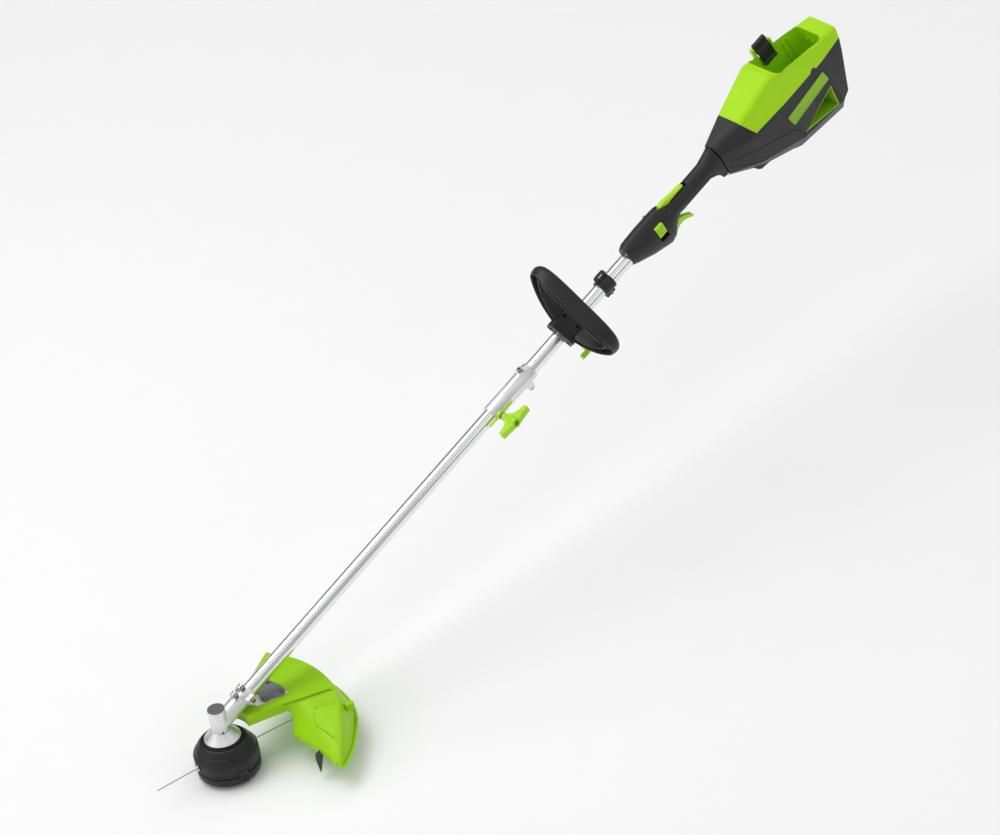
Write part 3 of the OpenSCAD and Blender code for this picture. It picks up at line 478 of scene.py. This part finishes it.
def deck_height(x, y):
    """Level as far as the fold, then a small step and a ramp down the wing, cut off by a slope along the front."""
    azimuth = -math.degrees(math.atan2(y, x))
    past = azimuth + FOLD
    if past <= 0:
        return DECK_Z
    ramp = past / (FOLD - WING_TO)
    height = DECK_Z - 4.0 * smooth_step(past, 0, 1.2) - 40 * ramp ** 1.25
    front = RIM_Z + FRONT_RISE + 1.15 * (x - FRONT_X)
    low = min(front, height) - max(0, 6 - abs(front - height)) ** 2 / 24
    height += (low - height) * smooth_step(past, 0.5, 6)
    # Raised plateau in the middle of the wing
    r = Vector((x, y)).length
    end = 20 + 11 * (r - 158) / 38
    plateau = smooth_step(r, 158, 164) * smooth_step(past, 8.5, 11.5) * (1 - smooth_step(r, 196, 201))
    return height + 4.0 * plateau * (1 - smooth_step(past - end, -1.5, 1.5))


def guard_columns():
    """(bottom of the inner edge, top of the inner edge, azimuth of the outer edge) round the guard."""
    lip = DECK_Z - LIP
    columns = []
    for k in range(13):
        f = k / 12
        r = 196 + (50 - 196) * f
        low = lip + (RIM_Z + 3 - lip) * smooth_step(r, 178, 196)
        columns.append((polar(r, DECK_TO, low), polar(r, DECK_TO, DECK_Z), DECK_TO - 14 * f ** 1.5))
    for k in range(1, 13):
        f = k / 12
        azimuth = DECK_TO + (FOLD - DECK_TO) * f
        columns.append((polar(47, azimuth, lip), polar(47, azimuth, DECK_Z), 14 - 20 * f))
    for k in range(1, 13):
        f = k / 12
        r = 47 + (NOTCH_R - 10 - 47) * f
        low = lip + 4 * f
        columns.append((polar(r, FOLD, low), polar(r, FOLD, DECK_Z), -6 - 10 * f))
    # Rounded notch, then the free edge down to the front
    corner, foot = polar(NOTCH_R, FOLD - 2.5, 0), Vector((FRONT_X, FRONT_Y, 0))
    for k in range(1, 17):
        f = k / 16
        place = polar(NOTCH_R - 10, FOLD, 0) * (1 - f) ** 2 + corner * 2.4 * f * (1 - f) + foot * f ** 2
        place = place / ((1 - f) ** 2 + 2.4 * f * (1 - f) + f ** 2)
        top = deck_height(place.x, place.y)
        depth = LIP - 4 + (FRONT_RISE - LIP + 4) * smooth_step(f, 0, 0.35)
        columns.append((Vector((place.x, place.y, top - depth)), Vector((place.x, place.y, top)), -16 - 9 * f))
    for k in range(1, 17):
        f = k / 16
        y = FRONT_Y + (FRONT_TO - FRONT_Y) * f
        top = deck_height(FRONT_X, y)
        columns.append((Vector((FRONT_X, y, RIM_Z)), Vector((FRONT_X, y, top)), -25 - 30 * f))
    # Free end of the wing, a shallow arc from the front to the rim
    start, stop = Vector((FRONT_X, FRONT_TO, 0)), polar(209, WING_TO, 0)
    for k in range(1, 11):
        f = k / 10
        place = start.lerp(stop, f)
        place.z = RIM_Z + FRONT_RISE - 3 * f
        drop = FRONT_RISE - (FRONT_RISE - 3) * smooth_step(f, 0, 0.4)
        columns.append((place - Vector((0, 0, drop)), place, -55 + (WING_TO + 55) * f))
    return columns


def guard_skin():
    rows = []
    for low, top, azimuth in guard_columns():
        far = smooth_step(-azimuth, 22, 45)
        skirt = SKIRT_R - 7 * far
        edge = polar(DECK_R - 9, azimuth, 0)
        z = deck_height(edge.x, edge.y)
        rim = skirt + (DECK_R - SKIRT_R) * (z - RIM_Z) / (DECK_Z - RIM_Z)
        shoulder = polar(rim - 9, azimuth, z)
        inward = Vector((shoulder.x - top.x, shoulder.y - top.y, 0)).normalized()
        column = [low, low.lerp(top, 0.5), top - Vector((0, 0, 2.4)), top + inward * 0.8 - Vector((0, 0, 0.6))]
        start = top + inward * 2.6
        for k in range(17):
            f = k / 16
            place = start.lerp(shoulder, f)
            height = deck_height(place.x, place.y)
            column.append(Vector((place.x, place.y, max(height, RIM_Z + 4.5) if k else max(height, top.z))))
        z = column[-1].z
        column += [polar(rim - 3.5, azimuth, z - 0.9), polar(rim - 0.6, azimuth, z - 3.2)]
        column += [polar(rim + f * (skirt - rim), azimuth, z - 3.2 - f * (z - 5 - RIM_Z)) for f in (0.25, 0.6)]
        for past, above in ((-0.3, 1.8), (1.2, 0.6), (5.5, 0.3), (6.6, -0.8), (6.6, -2.2)):
            column.append(polar(skirt + past, azimuth, RIM_Z + above))
        rows.append([tuple(p) for p in column])
    n = len(rows[0])
    verts = [p for row in rows for p in row]
    faces = [(i * n + k, (i + 1) * n + k, (i + 1) * n + k + 1, i * n + k + 1)
             for i in range(len(rows) - 1) for k in range(n - 1)]
    skin = emit("guard_skin", verts, faces, "lower_boom", "guard_green", ROW, ["guard"], sharp=24)
    thick = skin.modifiers.new("wall", "SOLIDIFY")
    thick.thickness, thick.offset = 2.7 * MM, -1
    edge = skin.modifiers.new("soft_edges", "BEVEL")
    edge.width, edge.segments, edge.limit_method, edge.angle_limit = 0.5 * MM, 2, "ANGLE", math.radians(40)


def guard_groove_shade():
    """Dark strips painted as the shade in the guard's grooves: along the fold and then inside the rim, and round the
    plateau of the wing.
    """
    fold = [(r, FOLD - 0.4) for r in range(112, 194, 6)] + [(198, FOLD - 0.6)]
    plateau = [(196, -30.5), (172, -31), (162, -32.5), (158, -36), (158, -41), (163, -44.5), (178, -48.5), (196, -53)]
    foot = [(SKIRT_R + 1.6 - 7 * smooth_step(a, 22, 45), -a) for a in range(21, 65, 2)]
    for name, route, width in (("guard_fold", fold, 3.0), ("guard_plateau", plateau, 1.4), ("guard_foot", foot, 3.2)):
        path = []
        for x, y in (tuple(q) for q in spline([polar(r, a, 0).xy for r, a in route], 4)):
            path.append(Vector((x, y, RIM_Z + 0.9 if route is foot else deck_height(x, y))))
        strip = rounded([(-width / 2, -1), (width / 2, -1), (width / 2, 0.35), (-width / 2, 0.35)], 0.2)
        verts, faces = swept(path, strip, (0, 0, 1))
        emit(name, verts, faces, "lower_boom", "guard_green", finish=PAINTED_CREASE_SHADE)


guard_skin()
guard_groove_shade()
LUG = rounded([(213, 66), (224, 66), (227, 69), (227, 76), (224, 79), (211, 79)], 2)
lug, lug_faces = rings_to_mesh([[tuple(polar(r, a, z)) for r, z in LUG] for a in (-29.4, -29.8, -31.8, -32.2)])
emit("guard_lug", lug, lug_faces, "lower_boom", "guard_green", bevel=0.8)


# ---------- loop handle ----------
LOOP_KNOTS = [(22, 12), (48, 27), (70, 46), (85, 69), (90, 90), (83, 107), (63, 116), (33, 118.5), (0, 118)]


def loop_skin():
    """The bar has a smooth back and a hollow face towards the head; the hub is a block that it grows out of."""
    knots = [(u * 0.96, v) for u, v in LOOP_KNOTS] + [(-u, v) for u, v in LOOP_KNOTS[-2::-1]]
    lean, twist = math.tan(math.radians(2.5)), math.tan(math.radians(4.5))
    path = [Vector((p[1] * lean - p[0] * twist, -p[0], p[1])) for p in spline(knots, 6)]

    def profile(f):
        hub = 1 - smooth_step(min(f, 1 - f), 0.0, 0.2)
        middle = smooth_step(0.5 - abs(f - 0.5), 0.24, 0.42)
        back, front = 11.0 + 3 * hub, 11.5 + 6.5 * hub + 8.5 * middle
        round_back = [(11.4 * math.sin(math.radians(a)), back * math.cos(math.radians(a))) for a in range(0, 91, 10)]
        hollow = [(11.2, -front * 0.45)]
        hollow += [(out, -front + up) for out, up in ((10.4, 2.2), (9.2, 0.3), (7.6, 0.3), (6.6, 2.0), (5.2, 9.5),
                                                      (-5.4, 9.5), (-6.8, 2.4), (-7.8, 1.2), (-9.4, 1.4))]
        hollow.append((-11.0, -front * 0.5))
        inner = [(-11.6 * math.sin(math.radians(a)), back * math.cos(math.radians(a))) for a in range(90, 0, -10)]
        return round_back + hollow + inner

    verts, faces = swept(path, profile, (1, 0, 0))
    emit("loop_bar", verts, faces, "loop", "loop_black", LOOP, ["loop_handle"], sharp=40)
    hub = [(-27, 1.2), (-27, 19), (-19.5, 27), (19.5, 27), (27, 19), (27, 1.2), (14.4, 1.2)]
    arc = [(12.76 * math.cos(math.radians(a)), 12.76 * math.sin(math.radians(a))) for a in range(8, 173, 8)]
    section = rounded(hub[:-1], 2.0, 3) + arc
    block_verts, block_faces = rings_to_mesh([[(x, y, z) for y, z in section] for x in (-28, 14)])
    emit("loop_hub", block_verts, block_faces, "loop", "loop_black", LOOP, bevel=1.4)
    low = [(-27, -0.5), (-27, -14), (-20, -20), (20, -20), (27, -14), (27, -0.5)]
    arc = [(12.76 * math.cos(math.radians(a)), -12.76 * math.sin(math.radians(a))) for a in range(4, 177, 8)]
    section = rounded(low, 2.0, 3) + arc
    block_verts, block_faces = rings_to_mesh([[(x, y, z) for y, z in section] for x in (-18, 18)])
    emit("loop_clamp_skin", block_verts, block_faces, "loop", "loop_black", LOOP, ["loop_clamp"], bevel=1.2)
    # The wells are flat discs painted near black as the shade inside the screw holes.
    for k, y in enumerate((-19, 19)):
        outline = [(0, 0.01), (0, 3.4), (0.5, 3.4), (0.9, 3.0), (0.9, 2.6), (0.2, 2.6), (0.2, 0.01)]
        well, well_faces = turned(rounded(outline, 0.1), "x", 32)
        face = LOOP @ Matrix.Translation((-28.4, y, 9))
        emit(f"hub_screw_well_{k}", well, well_faces, "loop", "loop_black", face, finish=SEAM_DARK_AND_PAINTED_SHADE)
        top = LOOP @ Matrix.Translation((1, y * 0.77, 27.4)) @ Matrix.Rotation(math.radians(90), 4, "Y")
        emit(f"hub_top_well_{k}", well, well_faces, "loop", "loop_black", top, finish=SEAM_DARK_AND_PAINTED_SHADE)


loop_skin()


# ---------- seams and small mouldings ----------
def surface_of(*names):
    """Ray tree of CAD nodes, in the boom's frame and millimetres."""
    verts, faces = [], []
    back = BOOM.inverted()
    for name in names:
        mesh, first = frame["nodes"][name].data, len(verts)
        verts += [back @ (v.co / MM) for v in mesh.vertices]
        faces += [tuple(first + i for i in face.vertices) for face in mesh.polygons]
    return BVHTree.FromPolygons(verts, faces)


def on_side(tree, points, side):
    """Points (along, up) dropped onto the near (-1) or far (+1) side of the surface."""
    found = []
    for along, up in points:
        hit = tree.ray_cast(Vector((along, side * 150, up)), Vector((0, -side, 0)))[0]
        if hit:
            found.append(hit)
    return found


def seam(name, tree, points, side, body, width=0.9, rise=0.22, finish=None, slot="black_shell"):
    """Thin dark line where two mouldings meet."""
    path = on_side(tree, [tuple(p) for p in spline(points, 8)], side)
    profile = [(-width / 2, -0.8), (width / 2, -0.8), (width / 2, rise), (-width / 2, rise)]
    verts, faces = swept(path, profile, (0, side, 0))
    emit(name, verts, faces, body, slot, BOOM, finish=finish or SEAM_DARK_AND_PAINTED_SHADE)


# Seams as (along, up) points in the boom's frame
SIDE_SEAM = [(1328, -10), (1384, -30), (1440, -52), (1456, -60), (1467, -84), (1468, -106)]
LOWER_SEAM = [(1322, -20), (1350, -42), (1380, -60)]
GRIP_SEAM = [(1206, -18), (1214, -11), (1224, -4.2), (1250, -4.4), (1280, -4.8), (1292, -9), (1308, -24)]
BAY_SEAM = [(1392, 4.6), (1440, 5.2), (1533, 6.4)]


def body_seams():
    shell = surface_of("housing_near", "housing_far", "bay_shell")
    handle = surface_of("handle_near", "handle_far", "grip_panel")
    for word, side in (("near", -1), ("far", 1)):
        seam(f"side_seam_{word}", shell, SIDE_SEAM, side, "rear_unit")
        seam(f"lower_seam_{word}", shell, LOWER_SEAM, side, "rear_unit", 0.7)
        seam(f"grip_seam_{word}", handle, GRIP_SEAM, side, "rear_unit", 0.8)
        # The bay seams take the painted-shade side green.
        seam(f"bay_seam_{word}", shell, BAY_SEAM, side, "rear_unit", 0.6, finish=FINISH["deep_green"], slot="deep_green")
    # Near-black band behind the joint between the grip and the rear housing, painted shade seen through the gap
    turns = [2 * math.pi * k / 48 for k in range(48)]
    rings = [[(along, 18.6 * math.cos(a), -6.5 + 36 * math.sin(a)) for a in turns] for along in (1310, 1321)]
    verts, faces = rings_to_mesh(rings)
    emit("neck_band", verts, faces, "rear_unit", "black_shell", BOOM, finish=SEAM_DARK_AND_PAINTED_SHADE)


def raised_badge(name, tree, side):
    """Blank name plate with a narrow raised border."""
    corners = [(1454, -25), (1459, -50), (1560, -36.5), (1556, -12)]
    outline = rounded(corners, 3.5, 4)
    middle = Vector((sum(p[0] for p in corners) / 4, sum(p[1] for p in corners) / 4))
    lift = Vector((0, side, 0))
    rings = []
    for inset, rise in ((0, -1.0), (0, 1.1), (0.5, 1.5), (1.9, 1.5), (2.3, 1.0), (12, 1.0)):
        ring = []
        for p in outline:
            offset = middle - Vector(p)
            ring.append(Vector(p) + offset * min(inset / 12.0, 0.999))
        ring = on_side(tree, [tuple(q) for q in ring], side)
        rings.append([tuple(q + lift * rise) for q in ring])
    verts, faces = rings_to_mesh(rings)
    # The plate takes the painted-shade side green.
    emit(name, verts, faces, "rear_unit", "deep_green", BOOM, ["badge_plates"] if side < 0 else (), sharp=40)


def bay_ribs():
    """Guide rails and ribs on the inside walls of the battery bay."""
    for word, side in (("near", -1), ("far", 1)):
        for k, s in enumerate((1556, 1568)):
            y = side * (34.6 - 0.05 * (s - 1556))
            verts, faces = block((s - 1.4, min(y, y - side * 2.2), -33), (s + 1.4, max(y, y - side * 2.2), 30))
            emit(f"bay_rib_{word}_{k}", verts, faces, "rear_unit", "green_shell", BOOM, bevel=0.5)
    for k, y in enumerate((-14, 0, 14)):
        verts, faces = block((1591.2, y - 1.4, -33), (1594.6, y + 1.4, 12))
        emit(f"bay_rear_rib_{k}", verts, faces, "rear_unit", "green_shell", BOOM, bevel=0.5)
    verts, faces = block((1545, -24, -35), (1578, 24, -31.5))
    emit("bay_floor_pad", verts, faces, "rear_unit", "grey_part", BOOM, bevel=0.8)


body_seams()
SHELL = surface_of("housing_near", "housing_far")
raised_badge("badge_near", SHELL, -1)
raised_badge("badge_far", SHELL, 1)
bay_ribs()


# ---------- studio ----------
def studio():
    bpy.ops.mesh.primitive_plane_add(size=60, location=(0.6, 0, -0.0006))
    floor = bpy.context.object
    floor.name = "floor"
    floor.data.materials.append(shade("floor", (0.97, 0.97, 0.972), 0.8, level=0.1, mottle=0.004))
    world = bpy.data.worlds.new("studio")
    bpy.context.scene.world = world
    world.use_nodes = True
    n = Nodes(world.node_tree)
    facing = n.add("ShaderNodeTexCoord").outputs["Generated"]

    def along(axis):
        node = n.add("ShaderNodeVectorMath", _operation="DOT_PRODUCT")
        n.put(node.inputs[0], facing)
        node.inputs[1].default_value = axis
        return node.outputs["Value"]

    # Soft boxes in bands round the boom's axis, so that the tubes show long light and dark streaks
    side = Vector((0, -1, 0))
    rise = Vector((-math.sin(BOOM_ANGLE), 0, math.cos(BOOM_ANGLE)))
    front, turn = (side + rise).normalized(), (side - rise).normalized()
    angle = n.math("ARCTAN2", along(turn), along(front))
    share = n.math("ADD", n.math("DIVIDE", angle, 2 * math.pi), 0.5)
    bands = [(-180, 0.55), (-142, 0.13), (-106, 0.16), (-100, 1.15), (-44, 1.25), (-38, 0.25), (-29, 0.25), (-25, 1.2),
             (-4, 1.1), (1, 0.22), (11, 0.26), (15, 0.9), (24, 0.8), (34, 0.32), (50, 0.42), (110, 0.7), (180, 0.55)]
    light = n.ramp(share, [((a + 180) / 360, v) for a, v in bands])
    back = n.add("ShaderNodeBackground", Color=light, Strength=0.86)
    plain = n.add("ShaderNodeBackground", Strength=1.0)
    plain.inputs["Color"].default_value = (1.0, 1.0, 1.0, 1)
    seen = n.add("ShaderNodeLightPath").outputs["Is Camera Ray"]
    blend = n.add("ShaderNodeMixShader", Fac=seen)
    n.put(blend.inputs[1], back.outputs[0])
    n.put(blend.inputs[2], plain.outputs[0])
    out = n.add("ShaderNodeOutputWorld")
    n.put(out.inputs["Surface"], blend.outputs[0])

    def area(name, place, target, size, power):
        lamp = bpy.data.lights.new(name, "AREA")
        lamp.shape, lamp.size, lamp.energy = "DISK", size, power
        obj = bpy.data.objects.new(name, lamp)
        obj.location = place
        obj.rotation_euler = (Vector(target) - Vector(place)).to_track_quat("-Z", "Y").to_euler()
        bpy.context.scene.collection.objects.link(obj)

    area("key", (-0.6, 1.2, 4.0), (0.7, 0, 0.3), 3.0, 52)
    area("fill", (2.2, -3.4, 2.6), (0.8, 0, 0.3), 2.4, 8)
    bpy.context.scene.view_settings.view_transform = "Standard"


studio()
